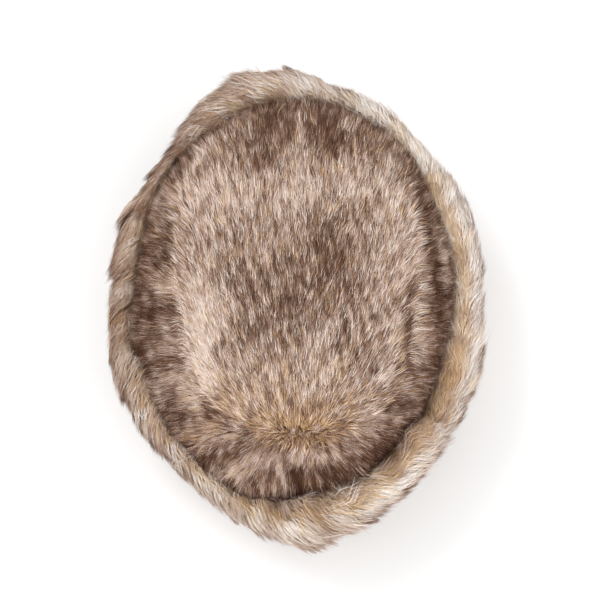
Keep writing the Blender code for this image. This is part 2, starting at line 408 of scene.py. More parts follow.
def ribbons(name, mat, path, surf, tone, gold, width, places, rng,
            upto=1.0):
    """Strands as tapered slivers. path and surf are (strand, knot, 3).

    upto is how much of the colours along a strand its tip has reached.
    """
    count, knots = path.shape[:2]
    along = np.empty_like(path)
    along[:, 0] = path[:, 1] - path[:, 0]
    along[:, -1] = path[:, -1] - path[:, -2]
    along[:, 1:-1] = path[:, 2:] - path[:, :-2]
    along = unit(along)
    roll = rng.normal(0.0, 0.45, count)[:, None, None]
    side = unit(np.cross(along, surf))
    up = np.cross(side, along)
    side = unit(side * np.cos(roll) + up * np.sin(roll))
    t = np.asarray(places)[None, :, None]
    w = width[:, None, None] * 0.5 * (0.75 + 0.35 * t)
    left, right = path - side * w, path + side * w
    own = unit(np.cross(side, along))
    bend = unit(surf * 0.9 + own * 0.3)
    # 256 columns: pale to the right in each of the two families
    tone = np.clip(tone, 0.0, 1.0)
    u = np.where(gold, FAMILY + 0.03 + 0.325 * tone, 0.002 + 0.615 * tone)
    uc = (np.floor(u * 256.0) + 0.5) / 256.0
    # a straight strand is one triangle, a bent one a leaf of two
    if knots == 2:
        spec = [(0, -1), (0, 1), (1, 0)]
        faces = [(0, 1, 2)]
    else:
        spec = [(0, 0), (1, -1), (1, 1), (2, 0)]
        faces = [(1, 0, 2), (1, 2, 3)]
    per = len(spec)
    v, nrm = np.empty((count, per, 3)), np.empty((count, per, 3))
    uv = np.empty((count, per, 2))
    for k, (knot, hand) in enumerate(spec):
        v[:, k] = (path, right, left)[hand][:, knot]
        nrm[:, k] = (bend + side * (0.2 * hand))[:, knot]
        uv[:, k, 0] = uc + 0.42 / 256.0 * hand
        uv[:, k, 1] = 0.01 + 0.98 * places[knot] * upto
    loops = np.array(faces).ravel()
    all_loops = (np.arange(count)[:, None] * per + loops[None]).ravel()
    all_sizes = np.full(count * len(faces), 3)
    ob = mesh_object(name, v.reshape(-1, 3), all_loops, all_sizes, [mat],
                     normals=nrm.reshape(-1, 3), uv=uv.reshape(-1, 2))
    return ob


def clumps(p, rng, cell):
    """For every strand, the strand in the middle of its clump."""
    heads = rng.permutation(len(p))[:max(8, int(len(p) / cell))]
    tree = kdtree.KDTree(len(heads))
    for i, h in enumerate(heads):
        tree.insert(p[h], i)
    tree.balance()
    return heads[np.array([tree.find(q)[1] for q in p.tolist()])]


def rise(t):
    """Height of a strand over the backing, as a share of the pile."""
    return 1.0 - (1.0 - t) ** 2.2


def gather(path, owner, places, pull):
    """Draw the strands of a clump together towards their tips."""
    t = np.asarray(places)[None, :, None]
    pull = np.asarray(pull)
    if pull.ndim:
        pull = pull[:, None, None]
    return path + (path[owner] - path) * (pull * t ** 1.3)


class Dome:
    """The crown's backing as heights over the plan."""

    def __init__(self, sheets):
        self.grid = np.arange(240) * 1.5
        rings_r, rings_z = [], []
        for sheet in sheets:
            for j in range(sheet.shape[1]):
                x, y = sheet[:, j, 0], sheet[:, j, 1] - PANEL_CENTRE_Y
                phi = np.degrees(np.arctan2(y, x)) % 360.0
                o = np.argsort(phi)
                rings_r.append(np.interp(self.grid, phi[o],
                                         np.hypot(x, y)[o], period=360.0))
                rings_z.append(np.interp(self.grid, phi[o],
                                         sheet[o, j, 2], period=360.0))
        self.r, self.z = np.array(rings_r), np.array(rings_z)
        self.edge = self.r[sheets[0].shape[1] - 1]

    def height(self, x, y):
        y = y - PANEL_CENTRE_Y
        k = (np.degrees(np.arctan2(y, x)) % 360.0) / 1.5
        i = np.floor(k).astype(int) % 240
        t = k - np.floor(k)
        n = (i + 1) % 240
        r = self.r[:, i] * (1 - t) + self.r[:, n] * t
        z = self.z[:, i] * (1 - t) + self.z[:, n] * t
        d = np.hypot(x, y)
        j = np.clip((r < d).sum(0) - 1, 0, len(r) - 2)[None]
        r0, r1 = (np.take_along_axis(r, j + a, 0)[0] for a in (0, 1))
        z0, z1 = (np.take_along_axis(z, j + a, 0)[0] for a in (0, 1))
        f = np.clip((d - r0) / np.maximum(r1 - r0, 1e-3), 0.0, 1.0)
        return z0 + (z1 - z0) * f

    def at(self, xy):
        x, y = xy[:, 0], xy[:, 1]
        e = 1.2
        z = self.height(x, y)
        zx = self.height(x + e, y) - self.height(x - e, y)
        zy = self.height(x, y + e) - self.height(x, y - e)
        n = unit(np.stack([-zx / (2 * e), -zy / (2 * e), np.ones(len(x))], -1))
        return z, n

    def share(self, xy):
        """0 in the panel's middle, 1 at its seam, more on the band."""
        x, y = xy[:, 0], xy[:, 1] - PANEL_CENTRE_Y
        phi = np.degrees(np.arctan2(y, x)) % 360.0
        return np.hypot(x, y) / np.interp(phi, self.grid, self.edge,
                                          period=360.0)


def comb(dome, xy, field, length, pile, turn, stray, places):
    """Lay strands on the crown, along the flow and over its edge.

    Each follows the flow of a place a little way off, stray.
    """
    at, pts, out = xy.copy(), [], []
    c, s = np.cos(np.radians(turn)), np.sin(np.radians(turn))
    last = 0.0
    for k, t in enumerate(places):
        for _ in range(2 if k else 0):
            n = dome.at(at)[1]
            f = field(at + stray)
            d = np.stack([f[:, 0] * c - f[:, 1] * s,
                          f[:, 0] * s + f[:, 1] * c, np.zeros(len(f))], -1)
            at = at + lay(d, n)[:, :2] * (length * (t - last) / 2.0)[:, None]
        last = t
        z, n = dome.at(at)
        pts.append(np.concatenate([at, z[:, None]], 1)
                   + n * (pile * rise(t) - 0.5)[:, None])
        out.append(n)
    return np.stack(pts, 1), np.stack(out, 1)


def wrap(sheet, i, j, field, length, pile, turn, places, flare):
    """Lay strands on the cuff, from places (i, j) of its grid.

    flare is how far the tips stand up instead of lying flat.
    """
    di = (np.roll(sheet.p, -1, 0) - np.roll(sheet.p, 1, 0)) / 2.0
    dj = np.gradient(sheet.p, axis=1)
    m = sheet.p.shape[1]

    def at(grid, i, j):
        j = np.clip(j, 0, m - 1.001)
        a, b = np.floor(i).astype(int) % RINGS, np.floor(j).astype(int)
        u, v = (i - np.floor(i))[:, None], (j - b)[:, None]
        c = (a + 1) % RINGS
        return ((grid[a, b] * (1 - u) + grid[c, b] * u) * (1 - v)
                + (grid[a, b + 1] * (1 - u) + grid[c, b + 1] * u) * v)
    i, j, pts, out, last = i.copy(), j.copy(), [], [], 0.0
    for k, t in enumerate(places):
        for _ in range(2 if k else 0):
            a = np.radians(field(i * 360.0 / RINGS, j / (m - 1)) + turn)
            step = length * (t - last) / 2.0
            i = i + np.sin(a) * step / np.linalg.norm(at(di, i, j), axis=1)
            j = j + np.cos(a) * step / np.linalg.norm(at(dj, i, j), axis=1)
        last = t
        n = unit(at(sheet.n, i, j))
        lift = (1.0 - flare) * rise(t) + flare * t * t
        pts.append(at(sheet.p, i, j) + n * (pile * lift - 0.5)[:, None])
        out.append(n)
    return np.stack(pts, 1), np.stack(out, 1)


# ---------------------------------------------------------------- materials


def ramp(tree, stops):
    node = tree.nodes.new("ShaderNodeValToRGB")
    els = node.color_ramp.elements
    while len(els) < len(stops):
        els.new(0.5)
    for el, (pos, rgb) in zip(els, stops):
        el.position = pos
        el.color = (*[srgb(c / 255.0) for c in rgb], 1.0)
    return node


def srgb(c):
    return c / 12.92 if c <= 0.04045 else ((c + 0.055) / 1.055) ** 2.4


def fur_material(name, dark, middle, light, gold_dark, gold_middle,
                 gold_light, hue=0.5, rough=0.75):
    """Fur: colour by strand (u) and by place along it (v)."""
    mat = bpy.data.materials.new(name)
    mat.use_nodes = True
    tree = mat.node_tree
    shader = tree.nodes["Principled BSDF"]
    uv = tree.nodes.new("ShaderNodeUVMap")
    uv.uv_map = "strand"
    split = tree.nodes.new("ShaderNodeSeparateXYZ")
    tree.links.new(uv.outputs["UV"], split.inputs[0])

    def noise(scale, detail):
        stretch = tree.nodes.new("ShaderNodeVectorMath")
        stretch.operation = "MULTIPLY"
        stretch.inputs[1].default_value = (*scale, 1.0)
        tree.links.new(uv.outputs["UV"], stretch.inputs[0])
        node = tree.nodes.new("ShaderNodeTexNoise")
        node.noise_dimensions = "2D"
        node.inputs["Scale"].default_value = 1.0
        node.inputs["Detail"].default_value = detail
        tree.links.new(stretch.outputs[0], node.inputs["Vector"])
        return node

    # the bands wander a little from strand to strand
    wander = tree.nodes.new("ShaderNodeMath")
    wander.operation = "MULTIPLY_ADD"
    wander.inputs[1].default_value = 0.24
    wander.inputs[2].default_value = -0.12
    tree.links.new(noise((90.0, 2.0), 1.0).outputs["Fac"], wander.inputs[0])
    place = tree.nodes.new("ShaderNodeMath")
    place.operation = "ADD"
    tree.links.new(split.outputs["Y"], place.inputs[0])
    tree.links.new(wander.outputs[0], place.inputs[1])

    def family(first, last, low, centre, high):
        half = (first + last) / 2.0
        below = None
        for start, stop, stops in ((first, half, low), (first, half, centre),
                                   (half, last, high)):
            node = ramp(tree, stops)
            tree.links.new(place.outputs[0], node.inputs["Fac"])
            if below is None:
                below = node.outputs["Color"]
                continue
            part = tree.nodes.new("ShaderNodeMapRange")
            part.inputs["From Min"].default_value = start
            part.inputs["From Max"].default_value = stop
            tree.links.new(split.outputs["X"], part.inputs["Value"])
            mix = tree.nodes.new("ShaderNodeMix")
            mix.data_type = "RGBA"
            tree.links.new(part.outputs["Result"], mix.inputs["Factor"])
            tree.links.new(below, mix.inputs["A"])
            tree.links.new(node.outputs["Color"], mix.inputs["B"])
            below = mix.outputs["Result"]
        return mix

    neutral = family(0.0, FAMILY - 0.02, dark, middle, light)
    golden = family(FAMILY + 0.02, 1.0, gold_dark, gold_middle, gold_light)
    which = tree.nodes.new("ShaderNodeMath")
    which.operation = "GREATER_THAN"
    which.inputs[1].default_value = FAMILY
    tree.links.new(split.outputs["X"], which.inputs[0])
    mix = tree.nodes.new("ShaderNodeMix")
    mix.data_type = "RGBA"
    tree.links.new(which.outputs[0], mix.inputs["Factor"])
    tree.links.new(neutral.outputs["Result"], mix.inputs["A"])
    tree.links.new(golden.outputs["Result"], mix.inputs["B"])
    # strands differ: some pinker, some yellower
    tint = ramp(tree, [(0.3, (255, 230, 222)), (0.5, (250, 244, 238)),
                       (0.7, (255, 240, 208))])
    tree.links.new(noise((190.0, 0.6), 0.0).outputs["Fac"], tint.inputs["Fac"])
    toned = tree.nodes.new("ShaderNodeMix")
    toned.data_type = "RGBA"
    toned.blend_type = "MULTIPLY"
    toned.inputs["Factor"].default_value = hue
    tree.links.new(mix.outputs["Result"], toned.inputs["A"])
    tree.links.new(tint.outputs["Color"], toned.inputs["B"])
    tree.links.new(toned.outputs["Result"], shader.inputs["Base Color"])
    shader.inputs["Roughness"].default_value = rough
    shader.inputs["Specular IOR Level"].default_value = 0.1
    return mat


def cloth_material(name, base, thread, scale=900.0):
    """Plain woven backing: warp and weft bumps, slightly mottled."""
    mat = bpy.data.materials.new(name)
    mat.use_nodes = True
    tree = mat.node_tree
    shader = tree.nodes["Principled BSDF"]
    coords = tree.nodes.new("ShaderNodeTexCoord")
    bumps = []
    for direction in ("X", "Z"):
        wave = tree.nodes.new("ShaderNodeTexWave")
        wave.wave_type = "BANDS"
        wave.bands_direction = direction
        wave.inputs["Scale"].default_value = scale / 2.0
        wave.inputs["Distortion"].default_value = 1.2
        wave.inputs["Detail"].default_value = 1.0
        tree.links.new(coords.outputs["Object"], wave.inputs["Vector"])
        bumps.append(wave)
    weave = tree.nodes.new("ShaderNodeMath")
    weave.operation = "MULTIPLY"
    tree.links.new(bumps[0].outputs["Fac"], weave.inputs[0])
    tree.links.new(bumps[1].outputs["Fac"], weave.inputs[1])
    noise = tree.nodes.new("ShaderNodeTexNoise")
    noise.inputs["Scale"].default_value = 60.0
    noise.inputs["Detail"].default_value = 4.0
    tree.links.new(coords.outputs["Object"], noise.inputs["Vector"])
    add = tree.nodes.new("ShaderNodeMath")
    add.operation = "MULTIPLY_ADD"
    add.inputs[1].default_value = 0.5
    tree.links.new(noise.outputs["Fac"], add.inputs[0])
    half = tree.nodes.new("ShaderNodeMath")
    half.operation = "MULTIPLY"
    half.inputs[1].default_value = 0.6
    tree.links.new(weave.outputs[0], half.inputs[0])
    tree.links.new(half.outputs[0], add.inputs[2])
    colour = ramp(tree, [(0.15, base), (0.75, thread)])
    tree.links.new(add.outputs[0], colour.inputs["Fac"])
    tree.links.new(colour.outputs["Color"], shader.inputs["Base Color"])
    bump = tree.nodes.new("ShaderNodeBump")
    bump.inputs["Strength"].default_value = 0.5
    bump.inputs["Distance"].default_value = 0.0004
    tree.links.new(weave.outputs[0], bump.inputs["Height"])
    tree.links.new(bump.outputs["Normal"], shader.inputs["Normal"])
    shader.inputs["Roughness"].default_value = 0.9
    shader.inputs["Specular IOR Level"].default_value = 0.2
    return mat


def under_material(name, deep, pale):
    """Short dense underfur between the strands."""
    mat = bpy.data.materials.new(name)
    mat.use_nodes = True
    tree = mat.node_tree
    shader = tree.nodes["Principled BSDF"]
    coords = tree.nodes.new("ShaderNodeTexCoord")
    noise = tree.nodes.new("ShaderNodeTexNoise")
    noise.inputs["Scale"].default_value = 420.0
    noise.inputs["Detail"].default_value = 5.0
    noise.inputs["Roughness"].default_value = 0.7
    tree.links.new(coords.outputs["Object"], noise.inputs["Vector"])
    colour = ramp(tree, [(0.3, deep), (0.7, pale)])
    tree.links.new(noise.outputs["Fac"], colour.inputs["Fac"])
    tree.links.new(colour.outputs["Color"], shader.inputs["Base Color"])
    bump = tree.nodes.new("ShaderNodeBump")
    bump.inputs["Strength"].default_value = 0.8
    bump.inputs["Distance"].default_value = 0.0012
    tree.links.new(noise.outputs["Fac"], bump.inputs["Height"])
    tree.links.new(bump.outputs["Normal"], shader.inputs["Normal"])
    shader.inputs["Roughness"].default_value = 0.95
    shader.inputs["Specular IOR Level"].default_value = 0.1
    return mat


crown_fur_mat = fur_material(
    "crown_fur",
    dark=[(0.0, (110, 79, 54)), (0.25, (120, 88, 68)), (0.50, (104, 72, 56)),
          (0.75, (84, 57, 44)), (1.0, (64, 42, 32))],
    middle=[(0.0, (160, 120, 80)), (0.25, (188, 155, 127)),
            (0.50, (195, 169, 151)), (0.80, (187, 159, 142)),
            (1.0, (140, 105, 87))],
    light=[(0.0, (200, 162, 118)), (0.22, (226, 200, 176)),
           (0.42, (243, 231, 224)), (0.86, (246, 238, 233)),
           (1.0, (208, 180, 166))],
    gold_dark=[(0.0, (134, 96, 62)), (0.4, (148, 112, 78)),
               (0.7, (128, 94, 66)), (1.0, (92, 64, 46))],
    gold_middle=[(0.0, (168, 126, 80)), (0.4, (192, 155, 113)),
                 (0.7, (186, 149, 112)), (1.0, (142, 107, 80))],
    gold_light=[(0.0, (204, 164, 112)), (0.35, (226, 194, 152)),
                (0.8, (236, 213, 181)), (1.0, (186, 152, 122))])
# the band's colours: a darker copy of the crown's, partly its browner fur, partly painted
# shade of the band lying in shadow below the top panel
band_fur_mat = fur_material(
    "band_fur",
    dark=[(0.0, (84, 57, 38)), (0.25, (100, 69, 52)), (0.50, (88, 58, 44)),
          (0.75, (68, 42, 31)), (1.0, (50, 30, 22))],
    middle=[(0.0, (138, 102, 70)), (0.25, (164, 130, 106)),
            (0.50, (172, 140, 120)), (0.80, (160, 126, 108)),
            (1.0, (106, 74, 58))],
    light=[(0.0, (184, 146, 104)), (0.22, (210, 180, 154)),
           (0.42, (234, 217, 207)), (0.84, (240, 227, 219)),
           (1.0, (184, 152, 136))],
    gold_dark=[(0.0, (120, 86, 54)), (0.4, (134, 100, 70)),
               (0.7, (112, 80, 57)), (1.0, (82, 56, 42))],
    gold_middle=[(0.0, (156, 116, 72)), (0.4, (180, 143, 102)),
                 (0.7, (172, 135, 100)), (1.0, (126, 93, 70))],
    gold_light=[(0.0, (198, 152, 92)), (0.35, (222, 182, 130)),
                (0.8, (232, 202, 162)), (1.0, (176, 138, 104))])
cuff_fur_mat = fur_material(
    "cuff_fur",
    dark=[(0.0, (122, 86, 52)), (0.25, (136, 100, 72)),
          (0.55, (134, 98, 76)), (0.80, (108, 74, 57)),
          (1.0, (78, 50, 38))],
    middle=[(0.0, (170, 130, 86)), (0.25, (190, 157, 125)),
            (0.50, (204, 182, 165)), (0.76, (200, 176, 159)),
            (0.90, (164, 130, 110)), (1.0, (116, 82, 66))],
    light=[(0.0, (210, 176, 132)), (0.22, (232, 210, 184)),
           (0.45, (247, 242, 236)), (0.82, (250, 249, 247)),
           (0.93, (222, 204, 192)), (1.0, (168, 137, 121))],
    gold_dark=[(0.0, (146, 104, 60)), (0.4, (162, 120, 78)),
               (0.75, (142, 104, 70)), (1.0, (100, 70, 50))],
    gold_middle=[(0.0, (174, 132, 86)), (0.4, (200, 166, 126)),
                 (0.75, (198, 167, 132)), (1.0, (146, 112, 86))],
    gold_light=[(0.0, (206, 169, 120)), (0.35, (230, 204, 164)),
                (0.80, (240, 221, 192)), (1.0, (192, 158, 130))],
    hue=0.3)
cuff_edge_mat = fur_material(
    "cuff_edge_fur",
    dark=[(0.0, (122, 86, 52)), (0.25, (138, 102, 74)),
          (0.55, (136, 100, 80)), (0.78, (98, 66, 50)),
          (1.0, (70, 44, 33))],
    middle=[(0.0, (170, 130, 86)), (0.25, (193, 161, 129)),
            (0.50, (208, 187, 171)), (0.70, (201, 177, 161)),
            (0.84, (136, 102, 84)), (1.0, (90, 60, 47))],
    light=[(0.0, (214, 182, 140)), (0.20, (236, 216, 192)),
           (0.42, (249, 246, 242)), (0.72, (252, 252, 251)),
           (0.85, (186, 160, 146)), (1.0, (116, 86, 72))],
    gold_dark=[(0.0, (146, 104, 60)), (0.4, (164, 122, 80)),
               (0.75, (140, 102, 70)), (1.0, (96, 66, 48))],
    gold_middle=[(0.0, (174, 132, 86)), (0.4, (200, 168, 130)),
                 (0.72, (195, 164, 133)), (1.0, (112, 83, 66))],
    gold_light=[(0.0, (206, 169, 120)), (0.35, (232, 208, 171)),
                (0.72, (238, 223, 200)), (0.86, (187, 157, 134)),
                (1.0, (118, 87, 70))], hue=0.3)
under_dark = under_material("crown_underfur", (58, 38, 28), (112, 80, 60))
under_gold = under_material("cuff_underfur", (138, 104, 72), (196, 164, 130))
cloth = cloth_material("backing_cloth", (150, 126, 100), (192, 170, 142))

# ------------------------------------------------------------------- skins
RINGS = 240
ring_deg = np.arange(RINGS) * 360.0 / RINGS


def closed_ring(name, outer, inner, mats, seed, rough=0.5):
    """Skin: outer sheet and inner sheet joined at both ends."""
    rng = np.random.default_rng(seed)
    pts = np.concatenate([outer, inner[:, ::-1]], 1)
    n_out = outer.shape[1]
    m = pts.shape[1]
    i = np.arange(RINGS)[:, None]
    j = np.arange(m)[None]
    a, b = i * m + j, ((i + 1) % RINGS) * m + j
    c, d = ((i + 1) % RINGS) * m + (j + 1) % m, i * m + (j + 1) % m
    quads = np.stack([a, b, c, d], -1)
    # outward: the outer sheet's faces look away from the inner sheet
    e1 = outer[0, 1] - outer[0, 0]
    e2 = outer[1, 0] - outer[0, 0]
    way = np.cross(e2, e1) @ (outer[0, 0] - inner[0, 0])
    if way < 0:
        quads = quads[..., ::-1]
    slots = np.broadcast_to(np.where(np.arange(m) < n_out - 1, 0, 1),
                            (RINGS, m)).ravel()
    return mesh_object(name, pts.reshape(-1, 3), quads.ravel(),
                       np.full(RINGS * m, 4), mats, slots=slots)


cuff_rz = spline(cuff_outer(ring_deg), 40)
cuff_sheet = Sheet(around(cuff_rz, ring_deg), ring_deg,
                   out=np.concatenate([around(cuff_rz, ring_deg)[..., :2],
                                       np.zeros((RINGS, 40, 1))], -1))
band_rz = spline(band_outer(ring_deg), 24)
band_sheet = Sheet(around(band_rz, ring_deg), ring_deg,
                   out=np.array([0.0, 0.0, 1.0]))
shares = np.linspace(0.0, 1.0, 26)
top_pts = panel(ring_deg, np.maximum(shares, 0.002), 9.0)
top_sheet = Sheet(top_pts, ring_deg, out=np.array([0.0, 0.0, 1.0]))

foot = band_face(ring_deg, 0.0) + GAP
cuff_inner = around(spline([(foot + 0.2, np.full(RINGS, 1.2)),
                            (band_face(ring_deg, 45.0) + GAP,
                             np.full(RINGS, 45.0)),
                            (cuff_rz[:, 0, 0] - 1.6, cuff_rz[:, 0, 1] - 1.0)],
                           10)[:, ::-1], ring_deg)
cuff_skin = closed_ring("cuff_backing", cuff_sheet.p, cuff_inner,
                        [under_gold, cloth], 1)
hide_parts("cuff")

head = head_radius(ring_deg)
flat = np.ones(RINGS)
band_low = [(band_rz[:, -1, 0], band_rz[:, -1, 1]),
            (band_face(ring_deg, 45.0) - 0.3, 45.0 * flat),
            (head + CLOTH - 0.2, 1.2 * flat)]
band_all = np.concatenate([band_sheet.p,
                           around(spline(band_low, 12), ring_deg)[:, 1:]], 1)
band_in = around(spline([(column(ring_deg, "pan"), 107.4 * flat),
                         (head - 5.0, 88.0 * flat), (head, 52.0 * flat),
                         (head, 1.0 * flat)], 26), ring_deg)
band_skin = closed_ring("crown_band_backing", band_all, band_in,
                        [under_dark, cloth], 2)
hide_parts("crown_wall")

top_in = panel(ring_deg, np.maximum(shares, 0.002), 0.0, inner=True)
top_skin = closed_ring("crown_top_backing", top_sheet.p, top_in,
                       [under_dark, cloth], 3)
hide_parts("crown_top")

# -------------------------------------------------------------- colour chart
# Pale (+) and dark (-) patches of the crown, in the photo's pixels: middle,
# half sizes, tilt in degrees, strength. Some are painted shade and highlight.
CROWN_TONE_AND_SHADE_PATCHES = [
    # px    py    wide  high  tilt   tone
    # the dark band along the top: partly the fur's own darker tone, partly painted shade
    # where the far band lies in shadow
    (320,   133,   85,   22,    8,  -0.46),
    (262,   128,   40,   16,  -10,  -0.18),
    (330,   142,   14,   18,    0,  -0.24),
    (255,   155,   16,   12,    0,  -0.22),
    (225,   150,   25,   18,   35,  -0.16),
    (405,   170,   10,   40,  -20,  -0.20),
    (299,   130,    5,   16,    0,   0.50),
    (350,   128,    6,   14,   10,   0.36),
    (385,   160,    5,   18,  -30,   0.26),
    (310,   190,   70,   17,    0,   0.22),
    (300,   275,   54,   60,    0,  -0.22),
    (330,   262,   22,   46,    0,  -0.22),
    (285,   318,   26,   28,    0,  -0.16),
    (262,   330,   10,   30,   10,  -0.12),
    (240,   285,   16,   34,    0,  -0.06),
    (215,   205,   20,   45,    8,   0.16),
    (203,   350,   11,   55,   -6,   0.50),
    (226,   316,    9,   14,    0,   0.34),
    (390,   225,   11,   34,    0,   0.18),
    (382,   310,   14,   40,    0,   0.08),
    (300,   378,   60,   18,    0,   0.12),
    (300,   412,   60,   12,    0,  -0.04),
    (306,   454,   34,    9,    0,   0.50),
    (345,   437,   26,    8,   -8,   0.16),
    (262,   440,   26,    8,    8,   0.10),
    # the folds of the right side, where this fur lies over the band: painted shade (dark)
    # and painted highlight (pale), with little relief in the backing
    (410,   295,    4,   14,   30,  -0.46),
    (408,   345,    4,   38,   -3,  -0.52),
    (421,   335,    5,   34,   -2,   0.30),
    (429,   225,    4,   26,  -15,  -0.46),
    (418,   224,    5,   20,  -12,   0.20),
    (400,   402,   10,   12,    0,  -0.26),
    # painted shade of the fold below the parting
    (291,   464,    4,   10,  -22,  -0.46),
]
# Patches of the band, as above: the fur's own tone, and painted shade and highlight where
# marked.
BAND_TONE_AND_SHADE_PATCHES = [
    (165,   212,   14,   16,    0,   0.24),
    (160,   286,   12,    6,   -6,   0.60),
    (166,   362,    7,   20,    0,   0.34),
    (141,   330,    5,   60,    0,  -0.30),
    (181,   315,    4,   24,   10,  -0.40),
    (164,   322,    5,   16,    0,   0.30),
    (153,   305,    4,   20,    0,  -0.24),
    (168,   236,    5,   20,   10,  -0.24),
    (174,   400,    5,   30,  -20,  -0.20),
    (190,   385,   10,   52,  -14,   0.56),
    (222,   437,   34,    9,  -38,   0.36),
    (200,   458,   34,    8,  -42,  -0.20),
    (252,   460,   22,    8,  -14,   0.36),
    (218,   462,   16,    6,  -40,   0.20),
    # the right side's folds: painted shade (dark) and painted highlight (pale), with
    # little relief in the backing
    (425,   232,    5,   30,  -18,  -0.40),
    (450,   288,    3,   24,    0,  -0.20),
    (444,   272,    3,   20,    0,   0.60),
    (435,   280,    4,   14,    0,  -0.45),
    (420,   268,    6,   15,    0,   0.36),
    (410,   308,    5,   26,   12,  -0.80),
    (423,   335,    6,   26,    0,   0.56),
    (439,   325,    4,   36,    0,  -0.30),
    (430,   372,    7,   16,   20,  -0.20),
    (412,   400,   12,   14,   30,   0.14),
    # painted shade in the valley at the lower right
    (365,   462,   50,   12,  -30,  -0.36),
    # the fold below the parting: painted shade (dark) and painted highlight (pale)
    (295,   477,    5,   18,  -22,  -0.80),
    (308,   456,   32,    9,    0,   0.65),
    (284,   474,    9,   13,   10,   0.36),
    (335,   440,   24,    8,    0,   0.26),
    (380,   430,   22,    8,  -40,   0.16),
]
CUFF_PATCHES = [
    (455,   330,   22,   70,    0,   0.06),
    (440,   200,   30,   50,  -30,   0.10),
    (400,   130,   40,   20,   35,   0.16),
    (150,   200,   24,   60,   30,  -0.06),
    (126,   300,    9,   74,    0,   0.16),
    (112,   300,    5,   80,    0,  -0.12),
    (165,   440,   20,   50,   40,   0.02),
    (220,   100,   40,   24,  -30,  -0.06),
    (240,    95,   30,    8,  -20,   0.16),
    (150,   172,   20,   10,   50,   0.20),
]

# Golden patches: as above, with the share of golden strands.
CROWN_GOLD = [
    (296,   426,   44,   14,    3,   0.85),
    (205,   415,   12,   10,  -35,   0.45),
    (230,   436,   14,    8,  -30,   0.40),
    (262,   400,   36,   24,    0,   0.35),
    (345,   405,   44,   24,    0,   0.28),
    (300,   444,   34,    6,    0,   0.25),
]
BAND_GOLD = [
    (298,   441,   36,    8,    0,   0.60),
    (425,   318,    5,   12,    0,   0.45),
    (200,   430,   20,    8,  -35,   0.35),
    (178,   240,    6,   30,    0,   0.15),
]
CUFF_GOLD = [
    (266,    88,   12,   10,    0,   0.45),
    (235,   110,   10,    9,    0,   0.40),
    (212,   140,   18,   10,   40,   0.40),
    (385,   132,   20,    8,  -40,   0.50),
    (432,   190,    9,   24,   20,   0.50),
    (457,   357,   12,   18,    0,   0.45),
    (434,   394,   12,   28,   25,   0.60),
    (455,   300,    5,   60,    0,   0.35),
    (390,   470,   40,   12,  -40,   0.35),
    (320,   510,   50,   10,   -5,   0.35),
    (245,   500,   12,   14,    0,   0.40),
    (140,   390,    9,   22,    0,   0.35),
    (141,   245,    7,   50,   12,   0.30),
]


def charted(xyz, patches):
    px, py = pixel(xyz[:, 0], xyz[:, 1], xyz[:, 2])
    total = np.zeros(len(px))
    for cx, cy, wide, high, tilt, tone in patches:
        c, s = math.cos(math.radians(tilt)), math.sin(math.radians(tilt))
        dx, dy = px - cx, py - cy
        u, v = dx * c + dy * s, -dx * s + dy * c
        total += tone * np.exp(-0.5 * ((u / wide) ** 2 + (v / high) ** 2) * 1.6)
    return total


# --------------------------------------------------------------------- fur
dome = Dome([top_sheet.p, band_sheet.p])
# the parting above the back of the crown: hair leaves it on both sides
PART_A = np.array(plan(288, 431, PANEL_EDGE_Z))
PART_B = np.array(plan(313, 433, PANEL_EDGE_Z))


def parting(xy):
    """Vector and distance from the nearest point of the parting."""
    span = PART_B - PART_A
    t = np.clip((xy - PART_A) @ span / (span @ span), 0.0, 1.0)
    near_point = PART_A + t[:, None] * span
    away = xy - near_point
    return away, np.linalg.norm(away, axis=1), near_point


def crown_field(xy):
    """Direction of the crown's hair over the plan."""
    x, y = xy[:, 0], xy[:, 1]
    away, dist, mid = parting(xy)
    lean = 90.0 - 0.226 * (x - PART_B[0] + 11.0)
    lean = lean + 10.0 * waves(x, y, 5, 30.0)
    base = toward(lean)[:, :2]
    out = unit(xy - np.array([0.0, PANEL_CENTRE_Y]))
    share = dome.share(xy)
    upper = np.clip(0.5 + (y - mid[:, 1]) / 14.0, 0.0, 1.0)
    scale = 26.0 + 16.0 * np.clip((x + 10.0) / 30.0, 0.0, 1.0)
    w = 1.0 / (1.0 + (dist / scale) ** 2)
    rest = base * upper[:, None] + out * (1.0 - upper)[:, None]
    d = blend(rest, unit(away), w)
    edge = np.clip((share - 0.84) / 0.34, 0.0, 1.0)
    d = blend(unit(d), out, 0.8 * edge * np.abs(out[:, 0]) ** 0.6)
    swirl = 34.0 * waves(x, y, 9, 17.0) * np.clip((share - 0.95) * 5.0, 0, 1)
    c, s = np.cos(np.radians(swirl)), np.sin(np.radians(swirl))
    return unit(np.stack([d[:, 0] * c - d[:, 1] * s,
                          d[:, 0] * s + d[:, 1] * c], -1))


def settle(tone):
    """Tones brought softly inside 0 to 1, so that no patch goes flat."""
    return 1.0 / (1.0 + np.exp(-4.4 * (tone - 0.5)))


